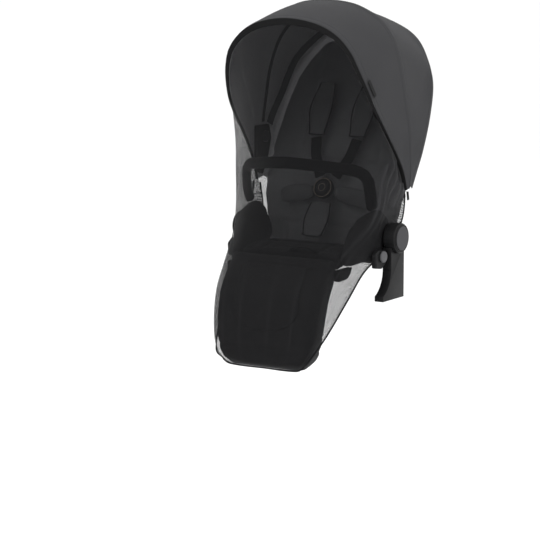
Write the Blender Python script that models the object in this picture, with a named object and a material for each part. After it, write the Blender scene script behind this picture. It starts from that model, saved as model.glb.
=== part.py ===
"""Stroller mosquito net, fitted on a plain stroller seat with its hood.

Metres, +Z up, the front is -Y and +X is the seated child's left.
The origin is midway between the soles of the two arms that carry the seat.
"""

import bpy
import bmesh
import numpy as np
from mathutils import Matrix

# Driving dimensions
GAP = 0.0003
NET_THICKNESS = 0.0012
NET_CLEARANCE = 0.0015
FOOT_CLEARANCE = 0.0040
BINDING_THICKNESS = 0.003
BINDING_WIDTH_TOP = 0.016
BINDING_WIDTH_SIDE = 0.006
ELASTIC_WIDTH = 0.0042
ELASTIC_THICKNESS = 0.0028
HOOD_THICKNESS = 0.002
BACKREST_THICKNESS = 0.016

HUB_HEIGHT = 0.1195
HUB_DEPTH = 0.098
HUB_RADIUS = 0.034
HUB_INNER_X = 0.1842
HUB_OUTER_X = 0.2170
HUB_LENGTH = HUB_OUTER_X - HUB_INNER_X
# Hub and its cap: distance along the axis, radius
HUB_PROFILE = (
    (0.0, HUB_RADIUS - 0.004),
    (0.004, HUB_RADIUS),
    (HUB_LENGTH - 0.003, HUB_RADIUS),
    (HUB_LENGTH, HUB_RADIUS - 0.003),
)
HUB_CAP_PROFILE = (
    (0.0, HUB_RADIUS - 0.007),
    (0.0012, HUB_RADIUS - 0.007),
    (0.0020, HUB_RADIUS - 0.008),
)
ARM_INNER_X = 0.1845
ARM_OUTER_X = 0.2065
ARM_WIDTH = 0.060
SOLE_HEIGHT = -0.018
TOE_REACH = 0.036
TOE_TIP_HEIGHT = 0.018
TOE_ROOT_HEIGHT = 0.048
SADDLE_POINTS = 13

# Steps from one foot of the rim to the other, shared by the net, the binding and the hood
ACROSS = 40
NET_DOWN = 28
# Columns in the table of the net's levels, counted over both sides
NET_STATIONS = 9
# Creases sharper than this angle stay sharp
SMOOTH_ANGLE = 0.7

# The band of the rim faces this point
RIM_AIM = (0.0, 0.06, 0.30)

# Each hoop is an arch: its height, half width and depth, from its foot up to its top
FRONT_HOOP = (
    # height, half_width, depth
    (0.223, 0.2025, 0.147),
    (0.262, 0.2020, 0.133),
    (0.300, 0.1995, 0.110),
    (0.340, 0.1965, 0.079),
    (0.380, 0.1950, 0.045),
    (0.420, 0.1915, 0.014),
    (0.460, 0.1850, -0.008),
    (0.500, 0.1745, -0.026),
    (0.540, 0.1580, -0.037),
    (0.574, 0.1280, -0.042),
    (0.596, 0.0900, -0.046),
    (0.608, 0.0450, -0.049),
    (0.612, 0.0000, -0.050),
)
MIDDLE_HOOP = (
    (0.225, 0.2012, 0.157),
    (0.262, 0.2015, 0.163),
    (0.302, 0.2000, 0.164),
    (0.362, 0.2000, 0.160),
    (0.422, 0.1940, 0.153),
    (0.482, 0.1880, 0.148),
    (0.542, 0.1740, 0.147),
    (0.580, 0.1560, 0.144),
    (0.612, 0.1250, 0.138),
    (0.636, 0.0800, 0.131),
    (0.645, 0.0400, 0.127),
    (0.647, 0.0000, 0.125),
)
REAR_BAND = (
    (0.227, 0.1995, 0.165),
    (0.290, 0.2010, 0.183),
    (0.352, 0.2000, 0.200),
    (0.420, 0.1910, 0.235),
    (0.503, 0.1690, 0.272),
    (0.551, 0.1320, 0.294),
    (0.588, 0.0780, 0.310),
    (0.610, 0.0000, 0.322),
)
REAR_HOOP = (
    (0.230, 0.1975, 0.173),
    (0.267, 0.1990, 0.193),
    (0.318, 0.2000, 0.222),
    (0.392, 0.1950, 0.262),
    (0.462, 0.1820, 0.298),
    (0.511, 0.1550, 0.323),
    (0.552, 0.1180, 0.345),
    (0.580, 0.0650, 0.364),
    (0.597, 0.0000, 0.373),
)

# Each level of the net below the rim, in millimetres, by five stations from its rear edge
NET_LEVELS = (
    # rear edge, side, corner and front as x, y, z; middle as y, z
    ((193.5, 151, 205), (204, 98, 262), (195.5, 47, 335), (110, -40, 420), (-60, 455)),
    ((187, 149, 152), (193, 80, 205), (188, 43, 270), (100, -28, 296), (-64, 306)),
    ((181.3, 105, 100), (181.2, 70, 130), (178, 21, 163), (100, -57, 185), (-88, 190)),
    ((174, 6, 55), (173, -22, 68), (146, -58, 80), (90, -89, 90), (-100, 94)),
    ((158, -44, -6), (148, -90, 0), (131.5, -129, 2), (80, -137.5, 0), (-139, 0)),
    ((141, -108, -80), (136, -130, -83), (124.5, -147.5, -84), (77, -154, -83), (-155, -83)),
    ((121.5, -146, -127), (116, -149, -128), (109, -154, -131), (67, -158, -138), (-159, -141)),
    ((101.5, -145, -149), (94, -145, -153), (83, -144, -156), (50, -143, -158), (-142, -158)),
)

# Soft folds of the net: where each stands across the net and how far down it runs
NET_FOLDS = (
    # across, drift, width, height, start, end
    (0.50, -0.02, 0.045, 0.0050, 0.10, 0.44),
    (0.60, -0.03, 0.040, 0.0060, 0.08, 0.40),
    (0.70, -0.04, 0.038, 0.0065, 0.06, 0.35),
    (0.81, -0.05, 0.036, 0.0055, 0.05, 0.31),
    (-0.54, 0.03, 0.048, 0.0030, 0.10, 0.42),
    (-0.67, 0.04, 0.042, 0.0035, 0.07, 0.36),
    (-0.80, 0.05, 0.038, 0.0035, 0.05, 0.31),
)
# Room between the seat's side wall and the hub, where the net passes
PASS_OUTER_X = 0.1822
PASS_REACH = 0.012
PASS_SLOPE = 0.4
PASS_END = 0.020
WALL_CLEARANCE = 0.0030

# Side wall of the seat from front to back
SEAT_SIDE_ROWS = (
    # depth, middle x, lowest, highest, thickness
    (-0.034, 0.1430, 0.066, 0.088, 0.016),
    (-0.018, 0.1450, 0.0625, 0.104, 0.023),
    (0.005, 0.1490, 0.062, 0.139, 0.028),
    (0.030, 0.1550, 0.062, 0.168, 0.032),
    (0.070, 0.1600, 0.064, 0.180, 0.034),
    (0.104, 0.1610, 0.072, 0.182, 0.034),
    (0.120, 0.1610, 0.098, 0.170, 0.034),
)
SEAT_SIDE_STEPS = 11
SEAT_SIDE_POWER = 3.2

# The blank tab on the rim, and the steps of the rim among which its height is found
LABEL_FINE = 240
LABEL_HEIGHT = 0.452
LABEL_LENGTH = 0.040
LABEL_WIDTH = 0.011
LABEL_THICKNESS = 0.0012
LABEL_LIFT = 0.0032
LABEL_SETBACK = 0.013

# Elastic loop from each foot of the rim: outwards, back and up
LOOP_LINE = (
    (0.0030, -0.004, -0.003),
    (0.0045, -0.005, -0.012),
    (0.0050, -0.004, -0.022),
)
LOOP_WIDTH = 0.009
LOOP_THICKNESS = 0.002

HOOD_CENTRE = (0.0, 0.12, 0.30)
SEAT_CENTRE = (0.0, 0.15, 0.20)
FRONT_STEPS = 6
REAR_STEPS = 8
FRONT_CROWN = 0.005
BAND_THICKNESS = 0.0025
# The rear panel turns in behind the backrest by this much
HOOD_WRAP = (0.0, 0.013, -0.009)
HOOD_TURN_IN = 0.004
# Tapes sewn inside the hood: name, row of the rear panel that they follow, width
HOOD_TAPES = (("middle_tape", 1, 0.010), ("rear_tape", REAR_STEPS // 2, 0.026))
TAPE_TRIM = 5

# Bracket in each lower end of the hood, seen from the side: depth and height
HINGE_OUTER_X = 0.1965
HINGE_THICKNESS = 0.012
HINGE_OUTLINE = (
    (0.128, 0.352),
    (0.178, 0.352),
    (0.188, 0.320),
    (0.170, 0.262),
    (0.150, 0.236),
    (0.140, 0.240),
    (0.128, 0.275),
)
HINGE_KNOB_PLACE = (0.156, 0.325)
HINGE_KNOB_PROFILE = ((0.0, 0.013), (0.006, 0.013), (0.008, 0.011))

BACKREST_ACROSS = 14
BACKREST_ARCH_ROWS = 10
BACKREST_INSET = 0.012
BACKREST_HOLLOW = 2.5
# Lower rows of the backrest: height, half width, depth at its edge
BACKREST_FOOT = (
    (0.187, 0.180, 0.152),
    (0.150, 0.174, 0.150),
    (0.108, 0.166, 0.146),
    (0.072, 0.155, 0.138),
)
# Depth of the backrest's middle by height
BACKREST_MIDDLE = (
    (0.072, 0.1045),
    (0.108, 0.112),
    (0.200, 0.142),
    (0.333, 0.198),
    (0.455, 0.264),
    (0.550, 0.318),
    (0.603, 0.360),
)

SEAT_PAD_WIDTH = 0.256
SEAT_PAD_DEPTH = 0.036
SEAT_PAD_LINE = (
    (0.0, -0.030, 0.072),
    (0.0, 0.010, 0.080),
    (0.0, 0.055, 0.082),
    (0.0, 0.102, 0.074),
)

# Leg rest: height, depth and width of its middle line
LEG_REST_ROWS = (
    (0.079, -0.056, 0.2600),
    (0.055, -0.062, 0.2600),
    (0.030, -0.077, 0.2620),
    (0.000, -0.096, 0.2650),
    (-0.045, -0.109, 0.2610),
    (-0.085, -0.116, 0.2550),
    (-0.125, -0.118, 0.2420),
    (-0.155, -0.113, 0.2200),
)
LEG_REST_DEPTH = 0.052
LEG_REST_STEPS = 14
# How much narrower and thinner the leg rest is at its ends, by step
LEG_REST_NARROWER = ((0, 0.010), (1, 0), (11, 0), (12, 0.008), (13, 0.030))
LEG_REST_THINNER = ((0, 0.012), (1, 0), (12, 0), (13, 0.014))
EAR_INNER_X = 0.1335
EAR_OUTER_X = 0.1485
# Ear of the leg rest below each side wall: depth and height
EAR_OUTLINE = (
    (-0.062, 0.0613),
    (-0.002, 0.0613),
    (-0.010, 0.0490),
    (-0.024, 0.0370),
    (-0.062, 0.0350),
)
LINER_WIDTH = 0.172
LINER_THICKNESS = 0.005
LINER_ENDS = (0.066, -0.074)
LINER_STEPS = 11
# Width of the liner against its full width, down its length
LINER_WIDTHS = ((0, 0.96), (0.7, 1), (0.85, 0.88), (0.95, 0.62), (1, 0.40))

# A short pull loop lies over the front edge of the seat
PULL_LINE = (
    (0.004, -0.0330, 0.0935),
    (0.018, -0.0350, 0.1000),
    (0.040, -0.0360, 0.1020),
    (0.060, -0.0350, 0.0990),
    (0.074, -0.0330, 0.0930),
)
PULL_WIDTH = 0.012
PULL_THICKNESS = 0.003

# Harness pads: middle lines, and widths and depths down their length
PAD_STEPS = 8
SHOULDER_PAD_LINE = (
    (0.054, 0.178, 0.331),
    (0.057, 0.204, 0.388),
    (0.057, 0.237, 0.450),
)
SHOULDER_PAD_WIDTHS = ((0, 0.034), (0.12, 0.046), (0.8, 0.056), (1, 0.034))
SHOULDER_PAD_DEPTHS = ((0, 0.008), (0.15, 0.013), (0.85, 0.013), (1, 0.007))
SHOULDER_STRAP_LINE = (
    (0.054, 0.176, 0.3270),
    (0.044, 0.158, 0.286),
    (0.020, 0.137, 0.2420),
)
STRAP_WIDTH = 0.026
STRAP_THICKNESS = 0.003
WAIST_PAD_LINE = (
    (0.029, 0.122, 0.208),
    (0.075, 0.122, 0.202),
    (0.118, 0.128, 0.192),
)
WAIST_PAD_WIDTHS = ((0, 0.022), (0.2, 0.038), (0.8, 0.040), (1, 0.026))
WAIST_PAD_DEPTH = 0.011
CROTCH_PAD_LINE = (
    (0.0, 0.068, 0.1110),
    (0.0, 0.088, 0.147),
    (0.0, 0.110, 0.184),
)
CROTCH_PAD_WIDTHS = ((0, 0.044), (0.2, 0.060), (0.8, 0.058), (1, 0.050))
CROTCH_PAD_DEPTH = 0.013
BUCKLE_PLACE = (0.0, 0.125, 0.214)
BUCKLE_AXIS = (0.0, -0.92, 0.39)
BUCKLE_PROFILE = ((0.0, 0.021), (0.003, 0.0245), (0.012, 0.0245), (0.014, 0.0225))
BUTTON_PROFILE = ((0.0, 0.0145), (0.0022, 0.0145), (0.0030, 0.0135))

BAR_HEIGHT = 0.027
BAR_THICKNESS = 0.021
BAR_STEPS = 32
# The bumper bar's middle line from its end on the side wall to its front
BAR_LINE = (
    (0.1620, 0.060, 0.1880),
    (0.1635, 0.049, 0.210),
    (0.1630, 0.044, 0.236),
    (0.1580, 0.038, 0.260),
    (0.1400, 0.022, 0.274),
    (0.1000, -0.004, 0.281),
    (0.0500, -0.028, 0.287),
    (0.0000, -0.038, 0.290),
)

CATCH_INNER_X = 0.1848
CATCH_OUTER_X = 0.1975
CATCH_OUTLINE = (
    (0.014, 0.088),
    (0.030, 0.099),
    (0.0615, 0.096),
    (0.0615, 0.066),
    (0.044, 0.055),
    (0.016, 0.059),
)

# Finish of each kind of piece: red, green, blue, roughness, metalness
COLOURS = {
    "net": (0.012, 0.012, 0.013, 0.85, 0.0),
    "binding": (0.006, 0.006, 0.006, 0.80, 0.0),
    "hood": (0.060, 0.060, 0.062, 0.90, 0.0),
    "seat": (0.020, 0.020, 0.021, 0.90, 0.0),
    "webbing": (0.010, 0.010, 0.010, 0.80, 0.0),
    "plastic": (0.018, 0.018, 0.019, 0.45, 0.0),
    "arm": (0.030, 0.030, 0.032, 0.40, 0.6),
}


# Shared shapes
def clear_scene():
    for thing in list(bpy.data.objects):
        bpy.data.objects.remove(thing, do_unlink=True)


def finish_of(kind):
    """The material of one kind of piece."""
    found = bpy.data.materials.get(kind)
    if found:
        return found
    red, green, blue, rough, metal = COLOURS[kind]
    made = bpy.data.materials.new(kind)
    made.use_nodes = True
    shader = made.node_tree.nodes["Principled BSDF"]
    shader.inputs["Base Color"].default_value = (red, green, blue, 1.0)
    shader.inputs["Roughness"].default_value = rough
    shader.inputs["Metallic"].default_value = metal
    return made


def add_solid(name, points, faces, kind, smooth_angle=SMOOTH_ANGLE):
    """A closed solid from its points and faces, turned to face outwards."""
    mesh = bpy.data.meshes.new(name)
    mesh.from_pydata([tuple(map(float, p)) for p in points], [], faces)
    work = bmesh.new()
    work.from_mesh(mesh)
    bmesh.ops.recalc_face_normals(work, faces=work.faces)
    if work.calc_volume(signed=True) < 0:
        bmesh.ops.reverse_faces(work, faces=work.faces)
    bmesh.ops.triangulate(work, faces=[f for f in work.faces if len(f.verts) > 4])
    work.to_mesh(mesh)
    work.free()
    mesh.shade_smooth()
    mesh.set_sharp_from_angle(angle=smooth_angle)
    thing = bpy.data.objects.new(name, mesh)
    bpy.context.scene.collection.objects.link(thing)
    mesh.materials.append(finish_of(kind))
    return thing


def unit(vectors):
    vectors = np.asarray(vectors, float)
    return vectors / np.linalg.norm(vectors, axis=-1, keepdims=True)


def curve_at(points, where):
    """A smooth curve through the points, read at places from 0 to the last point's number."""
    points = np.asarray(points, float)
    slopes = np.gradient(points, axis=0)
    where = np.clip(np.asarray(where, float), 0, len(points) - 1)
    start = np.minimum(where.astype(int), len(points) - 2)
    t = (where - start).reshape((-1,) + (1,) * (points.ndim - 1))
    rise = 3 * t**2 - 2 * t**3
    first = (1 - rise) * points[start] + rise * points[start + 1]
    return first + (t**3 - 2 * t**2 + t) * slopes[start] + (t**3 - t**2) * slopes[start + 1]


def read_table(table, places):
    """Values of a table of place and value, read between its lines."""
    return np.interp(places, *zip(*table))


def evenly(points, count, fine=16):
    """The smooth curve through the points, at evenly spaced places along its length."""
    dense = curve_at(points, np.linspace(0, len(points) - 1, (len(points) - 1) * fine + 1))
    run = np.concatenate([[0], np.cumsum(np.linalg.norm(np.diff(dense, axis=0), axis=1))])
    places = np.linspace(0, run[-1], count)
    return np.stack([np.interp(places, run, dense[:, k]) for k in range(dense.shape[1])], axis=1)


def arch(rows, count):
    """A hoop from its left foot over its top to its right foot."""
    right = np.array([(half_width, depth, height) for height, half_width, depth in rows])
    left = right * (-1, 1, 1)
    return evenly(np.vstack([left, right[-2::-1]]), count)


def grid_normals(grid):
    down = np.gradient(grid, axis=0)
    across = np.gradient(grid, axis=1)
    return unit(np.cross(across, down))


def add_sheet(name, grid, thickness, kind, sides=(0.5, 0.5)):
    """A closed sheet of even thickness over a grid of points; sides share its thickness out."""
    rows, columns = grid.shape[:2]
    normals = grid_normals(grid)
    first = (grid + normals * thickness * sides[0]).reshape(-1, 3)
    second = (grid - normals * thickness * sides[1]).reshape(-1, 3)
    far = rows * columns
    faces = []
    for r in range(rows - 1):
        for c in range(columns - 1):
            a, b = r * columns + c, (r + 1) * columns + c
            faces.append((a, a + 1, b + 1, b))
            faces.append((far + a, far + b, far + b + 1, far + a + 1))
    rim = [c for c in range(columns)]
    rim += [r * columns + columns - 1 for r in range(1, rows)]
    rim += [(rows - 1) * columns + c for c in range(columns - 2, -1, -1)]
    rim += [r * columns for r in range(rows - 2, 0, -1)]
    for a, b in zip(rim, rim[1:] + rim[:1]):
        faces.append((a, far + a, far + b, b))
    return add_solid(name, np.vstack([first, second]), faces, kind)


def add_sweep(name, centres, across, widths, depths, kind, sides=12, power=3.0):
    """A closed bar: rounded sections of the given widths and depths along its centres."""
    centres = np.asarray(centres, float)
    count = len(centres)
    along = unit(np.gradient(centres, axis=0))
    across = np.broadcast_to(np.asarray(across, float), centres.shape)
    across = unit(across - along * np.sum(across * along, axis=1, keepdims=True))
    out = np.cross(along, across)
    widths = np.broadcast_to(np.asarray(widths, float), (count,))
    depths = np.broadcast_to(np.asarray(depths, float), (count,))
    turn = (np.arange(sides) + 0.5) * 2 * np.pi / sides
    wide = np.sign(np.cos(turn)) * np.abs(np.cos(turn)) ** (2 / power)
    deep = np.sign(np.sin(turn)) * np.abs(np.sin(turn)) ** (2 / power)
    rings = (
        centres[:, None]
        + across[:, None] * (widths[:, None] / 2 * wide)[..., None]
        + out[:, None] * (depths[:, None] / 2 * deep)[..., None]
    )
    faces = [tuple(range(sides)), tuple((count - 1) * sides + k for k in range(sides))]
    for r in range(count - 1):
        for k in range(sides):
            n = (k + 1) % sides
            faces.append((r * sides + k, r * sides + n, (r + 1) * sides + n, (r + 1) * sides + k))
    return add_solid(name, rings.reshape(-1, 3), faces, kind)


def add_plate(name, outline, inner_x, outer_x, kind, bevel=0.006):
    """A flat-sided plate: an outline of depth and height, from one x to another, with soft edges."""
    count = len(outline)
    points = [(inner_x, y, z) for y, z in outline] + [(outer_x, y, z) for y, z in outline]
    faces = [tuple(range(count)), tuple(range(2 * count - 1, count - 1, -1))]
    faces += [(k, (k + 1) % count, count + (k + 1) % count, count + k) for k in range(count)]
    mesh = bpy.data.meshes.new(name)
    mesh.from_pydata(points, [], faces)
    work = bmesh.new()
    work.from_mesh(mesh)
    bmesh.ops.recalc_face_normals(work, faces=work.faces)
    if bevel:
        edges = work.edges[:]
        bmesh.ops.bevel(work, geom=edges, offset=bevel, segments=2, profile=0.5, affect="EDGES")
    work.to_mesh(mesh)
    work.free()
    mesh.shade_smooth()
    mesh.set_sharp_from_angle(angle=SMOOTH_ANGLE)
    thing = bpy.data.objects.new(name, mesh)
    bpy.context.scene.collection.objects.link(thing)
    mesh.materials.append(finish_of(kind))
    return thing


def add_turned(name, centre, axis, profile, kind, sides=28):
    """A turned piece: a profile of distance along the axis and radius, closed at both ends."""
    axis = unit(axis)
    helper = np.array((0.0, 0.0, 1.0)) if abs(axis[2]) < 0.9 else np.array((0.0, 1.0, 0.0))
    first = unit(np.cross(helper, axis))
    second = np.cross(axis, first)
    turn = np.arange(sides) * 2 * np.pi / sides
    ring = np.cos(turn)[:, None] * first + np.sin(turn)[:, None] * second
    points = np.vstack([np.asarray(centre) + axis * along + ring * radius for along, radius in profile])
    last = (len(profile) - 1) * sides
    faces = [tuple(range(sides)), tuple(last + k for k in range(sides))]
    for r in range(len(profile) - 1):
        for k in range(sides):
            n = (k + 1) % sides
            faces.append((r * sides + k, r * sides + n, (r + 1) * sides + n, (r + 1) * sides + k))
    return add_solid(name, points, faces, kind, 0.5)


def mirrored(name, side):
    return name + ("_left" if side > 0 else "_right")


# The rim of the hood
def rim_frame(count):
    """Points of the rim with its inward and forward directions."""
    rim = arch(FRONT_HOOP, count)
    along = unit(np.gradient(rim, axis=0))
    toward = np.array(RIM_AIM) - rim
    inward = unit(toward - along * np.sum(toward * along, axis=1, keepdims=True))
    forward = np.cross(along, inward)
    forward *= -np.sign(forward[len(rim) // 2, 1])
    return rim, inward, forward


def binding_width(rim):
    """The binding is broad over the top of the rim and narrow down its sides."""
    lowest, highest = rim[:, 2].min(), rim[:, 2].max()
    rise = np.clip((rim[:, 2] - lowest) / (highest - lowest), 0, 1)
    return BINDING_WIDTH_SIDE + (BINDING_WIDTH_TOP - BINDING_WIDTH_SIDE) * rise**3


def net_reach(rim):
    """From the rim to the net's top row: past the binding, and a little more at its feet."""
    width = binding_width(rim)
    return width + NET_CLEARANCE + FOOT_CLEARANCE * (BINDING_WIDTH_TOP - width) / BINDING_WIDTH_TOP


# The net
def net_grid():
    """The net's middle surface: rows from the rim down to the hem, columns from left to right."""
    rim, inward = rim_frame(NET_STATIONS)[:2]
    levels = [rim + inward * net_reach(rim)[:, None]]
    for rear, side, corner, front, middle in NET_LEVELS:
        half = np.array([rear, side, corner, front]) / 1000
        centre = np.array([[0.0, *middle]]) / 1000
        levels.append(np.vstack([half * (-1, 1, 1), centre, half[::-1]]))
    levels = np.array(levels)
    stations = np.linspace(0, NET_STATIONS - 1, ACROSS + 1)
    columns = curve_at(levels.transpose(1, 0, 2), stations)
    rim, inward = rim_frame(ACROSS + 1)[:2]
    columns[:, 0] = rim + inward * net_reach(rim)[:, None]
    rows = curve_at(columns.transpose(1, 0, 2), np.linspace(0, len(levels) - 1, NET_DOWN + 1))
    folded = rows - grid_normals(rows) * fold_height()[..., None]
    return pressed_in(folded)


def pressed_in(grid):
    """The net lies flat where it passes between the seat's side wall and the hub."""
    x, y, z = grid[..., 0], grid[..., 1], grid[..., 2]
    away = np.maximum(np.hypot(y - HUB_DEPTH, z - HUB_HEIGHT) - HUB_RADIUS - PASS_REACH, 0.0)
    most = np.where(away < PASS_END, PASS_OUTER_X + away * PASS_SLOPE, np.inf)
    depth, *shape = evenly(SEAT_SIDE_ROWS, SEAT_SIDE_STEPS).T
    middle, low, high, thickness = (np.interp(y, depth, value) for value in shape)
    wide = thickness / 2 + WALL_CLEARANCE
    tall = (high - low) / 2 + WALL_CLEARANCE
    lift = np.minimum(np.abs(z - (low + high) / 2) / tall, 1.0)
    wall = middle + wide * (1 - lift**SEAT_SIDE_POWER) ** (1 / SEAT_SIDE_POWER)
    beside = (y > depth[0] - WALL_CLEARANCE) & (y < depth[-1] + WALL_CLEARANCE)
    beside &= (lift < 1) & (np.abs(x) > middle - wide)
    grid[..., 0] = np.sign(x) * np.clip(np.abs(x), np.where(beside, wall, 0.0), most)
    return grid


def fold_height():
    """How far the folds stand out over the net, by row and column."""
    across = np.linspace(-1, 1, ACROSS + 1)[None, :]
    down = np.linspace(0, 1, NET_DOWN + 1)[:, None]
    height = np.zeros((NET_DOWN + 1, ACROSS + 1))
    for centre, drift, width, tall, start, end in NET_FOLDS:
        run = np.clip((down - start) / (end - start), 0, 1)
        swell = np.sin(np.pi * run) ** 1.5
        height += tall * swell * np.exp(-(((across - centre - drift * run) / width) ** 2))
    return height


def add_net():
    grid = net_grid()
    add_sheet("net_body", grid, NET_THICKNESS, "net")
    return grid


def add_binding():
    """One woven band along the rim, broad over the top."""
    rim, inward = rim_frame(ACROSS + 1)[:2]
    width = binding_width(rim)
    middle = rim + inward * (width / 2)[:, None]
    add_sweep("rim_binding", middle, inward, width, BINDING_THICKNESS, "binding", 4, 12)


def add_elastic(grid):
    """One thin elastic down the left edge, round the foot hem and up the right edge."""
    normals = grid_normals(grid)
    edge = np.vstack([grid[2:, 0], grid[-1, 1:], grid[-2:1:-1, -1]])
    facing = np.vstack([normals[2:, 0], normals[-1, 1:], normals[-2:1:-1, -1]])
    steps = unit(np.diff(edge, axis=0))
    outward = unit(np.cross(steps, facing[:-1] + facing[1:]))
    outward *= np.sign(np.sum(outward[0] * (grid[2, 0] - grid[2, 1])))
    before, after = np.vstack([outward[:1], outward]), np.vstack([outward, outward[-1:]])
    mitre = (before + after) / (1 + np.sum(before * after, axis=1, keepdims=True))
    path = edge + mitre * (2 * GAP + ELASTIC_WIDTH / 2)
    add_sweep("elastic_edge", path, mitre, ELASTIC_WIDTH, ELASTIC_THICKNESS, "binding", 4, 12)


def add_loops():
    """A short elastic loop hangs from each lower end of the binding."""
    rim = rim_frame(ACROSS + 1)[0]
    for side, end in ((-1, 0), (1, -1)):
        path = evenly(rim[end] + np.array(LOOP_LINE) * (side, 1, 1), 5)
        name = mirrored("edge_loop", side)
        add_sweep(name, path, (0, 1, 0), LOOP_WIDTH, LOOP_THICKNESS, "binding", 8, 4)


def add_label():
    """A blank tab stands on the rim, on the outer side of the hood."""
    rim, inward, forward = rim_frame(LABEL_FINE + 1)
    left_half = LABEL_FINE // 2 + 1
    near = left_half + int(np.argmin(np.abs(rim[left_half:, 2] - LABEL_HEIGHT)))
    along = unit(rim[near + 1] - rim[near - 1])
    foot = rim[near] - inward[near] * (LABEL_LIFT + LABEL_THICKNESS / 2)
    foot = foot - forward[near] * LABEL_SETBACK
    path = np.linspace(foot - along * LABEL_LENGTH / 2, foot + along * LABEL_LENGTH / 2, 3)
    add_sweep("label_tab", path, forward[near], LABEL_WIDTH, LABEL_THICKNESS, "webbing", 8, 8)


# The hood
def hood_grid(hoops, steps, count):
    """A grid over hoops, smooth along each hoop and from hoop to hoop."""
    arches = np.array([arch(hoop, count) for hoop in hoops])
    return curve_at(arches, np.linspace(0, len(hoops) - 1, steps + 1))


def outward_of(grid):
    """Normals of a hood grid, pointing away from the space under it."""
    normals = grid_normals(grid)
    facing = np.sign(np.sum(normals * (grid - np.array(HOOD_CENTRE)), axis=-1, keepdims=True))
    return normals * facing


def hood_crown(rows):
    """How much the cloth swells between two hoops: over the top, and hardly down the sides."""
    between = np.sin(np.linspace(0, np.pi, rows))[:, None, None]
    over = np.sin(np.linspace(0, np.pi, ACROSS + 1))[None, :, None] ** 3
    return between * over


def front_panel_grid():
    """Rows from just behind the binding to the middle hoop, swelling between them."""
    rim, inward, forward = rim_frame(ACROSS + 1)
    start = rim - forward * (BINDING_THICKNESS / 2 + 6 * GAP) + inward * HOOD_THICKNESS / 2
    grid = curve_at([start, arch(MIDDLE_HOOP, ACROSS + 1)], np.linspace(0, 1, FRONT_STEPS + 1))
    grid = grid + outward_of(grid) * hood_crown(FRONT_STEPS + 1) * FRONT_CROWN
    grid[-1] += unit(grid[-2] - grid[-1]) * 2 * GAP
    return grid


def add_hood():
    """The front panel reaches from the rim to the middle hoop, the rear panel on to the backrest."""
    front = front_panel_grid()
    add_sheet("hood_front_panel", front, HOOD_THICKNESS, "hood")
    rear = hood_grid((MIDDLE_HOOP, REAR_BAND, REAR_HOOP), REAR_STEPS, ACROSS + 1)
    rear[0] += unit(rear[1] - rear[0]) * 2 * GAP
    toward = unit(np.array(HOOD_CENTRE) - rear[-1])
    wrap = rear[-1] + np.array(HOOD_WRAP) + toward * HOOD_TURN_IN
    add_sheet("hood_rear_panel", np.vstack([rear, wrap[None]]), HOOD_THICKNESS, "hood")
    inner = rear - outward_of(rear) * (HOOD_THICKNESS / 2 + BAND_THICKNESS / 2 + 2 * GAP)
    for name, row, width in HOOD_TAPES:
        path = inner[row, TAPE_TRIM:-TAPE_TRIM]
        across = np.gradient(inner, axis=0)[row, TAPE_TRIM:-TAPE_TRIM]
        add_sweep(name, path, across, width, BAND_THICKNESS, "webbing", 4, 12)


def add_hood_hinges():
    """A moulded bracket inside each lower end of the hood carries its hoops, with a round knob."""
    for side in (1, -1):
        outer, inner = side * HINGE_OUTER_X, side * (HINGE_OUTER_X - HINGE_THICKNESS)
        add_plate(mirrored("hood_hinge", side), HINGE_OUTLINE, inner, outer, "plastic", 0.003)
        place = (inner - side * GAP, *HINGE_KNOB_PLACE)
        name = mirrored("hinge_knob", side)
        add_turned(name, place, (-side, 0, 0), HINGE_KNOB_PROFILE, "plastic", 20)


# The seat
def add_backrest():
    """A padded panel that closes the hood at the back and comes down to the seat."""
    hoop = arch(REAR_HOOP, 2 * BACKREST_ARCH_ROWS + 1)
    along = unit(np.gradient(hoop, axis=0))
    toward = np.array(HOOD_CENTRE) - hoop
    inward = unit(toward - along * np.sum(toward * along, axis=1, keepdims=True))
    edge = (hoop + inward * BACKREST_INSET)[:BACKREST_ARCH_ROWS]
    rows = [(height, -x, depth) for x, depth, height in edge[::-1]] + list(BACKREST_FOOT)
    spread = np.linspace(-1, 1, BACKREST_ACROSS + 1)
    grid = []
    for height, half_width, edge_depth in rows:
        middle = read_table(BACKREST_MIDDLE, height)
        depth = middle + (edge_depth - middle) * np.abs(spread) ** BACKREST_HOLLOW
        grid.append(np.stack([half_width * spread, depth, np.full_like(spread, height)], axis=1))
    add_sheet("backrest", np.array(grid), BACKREST_THICKNESS, "seat", (1.0, 0.0))


def add_seat():
    """The seat pad and its two padded side walls."""
    pad = evenly(SEAT_PAD_LINE, 9)
    add_sweep("seat_pad", pad, (1, 0, 0), SEAT_PAD_WIDTH, SEAT_PAD_DEPTH, "seat", 16, 7)
    depth, x, low, high, thickness = evenly(SEAT_SIDE_ROWS, SEAT_SIDE_STEPS).T
    for side in (1, -1):
        centres = np.stack([side * x, depth, (low + high) / 2], axis=1)
        name = mirrored("seat_side", side)
        add_sweep(name, centres, (0, 0, 1), high - low, thickness, "seat", 16, SEAT_SIDE_POWER)


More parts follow.
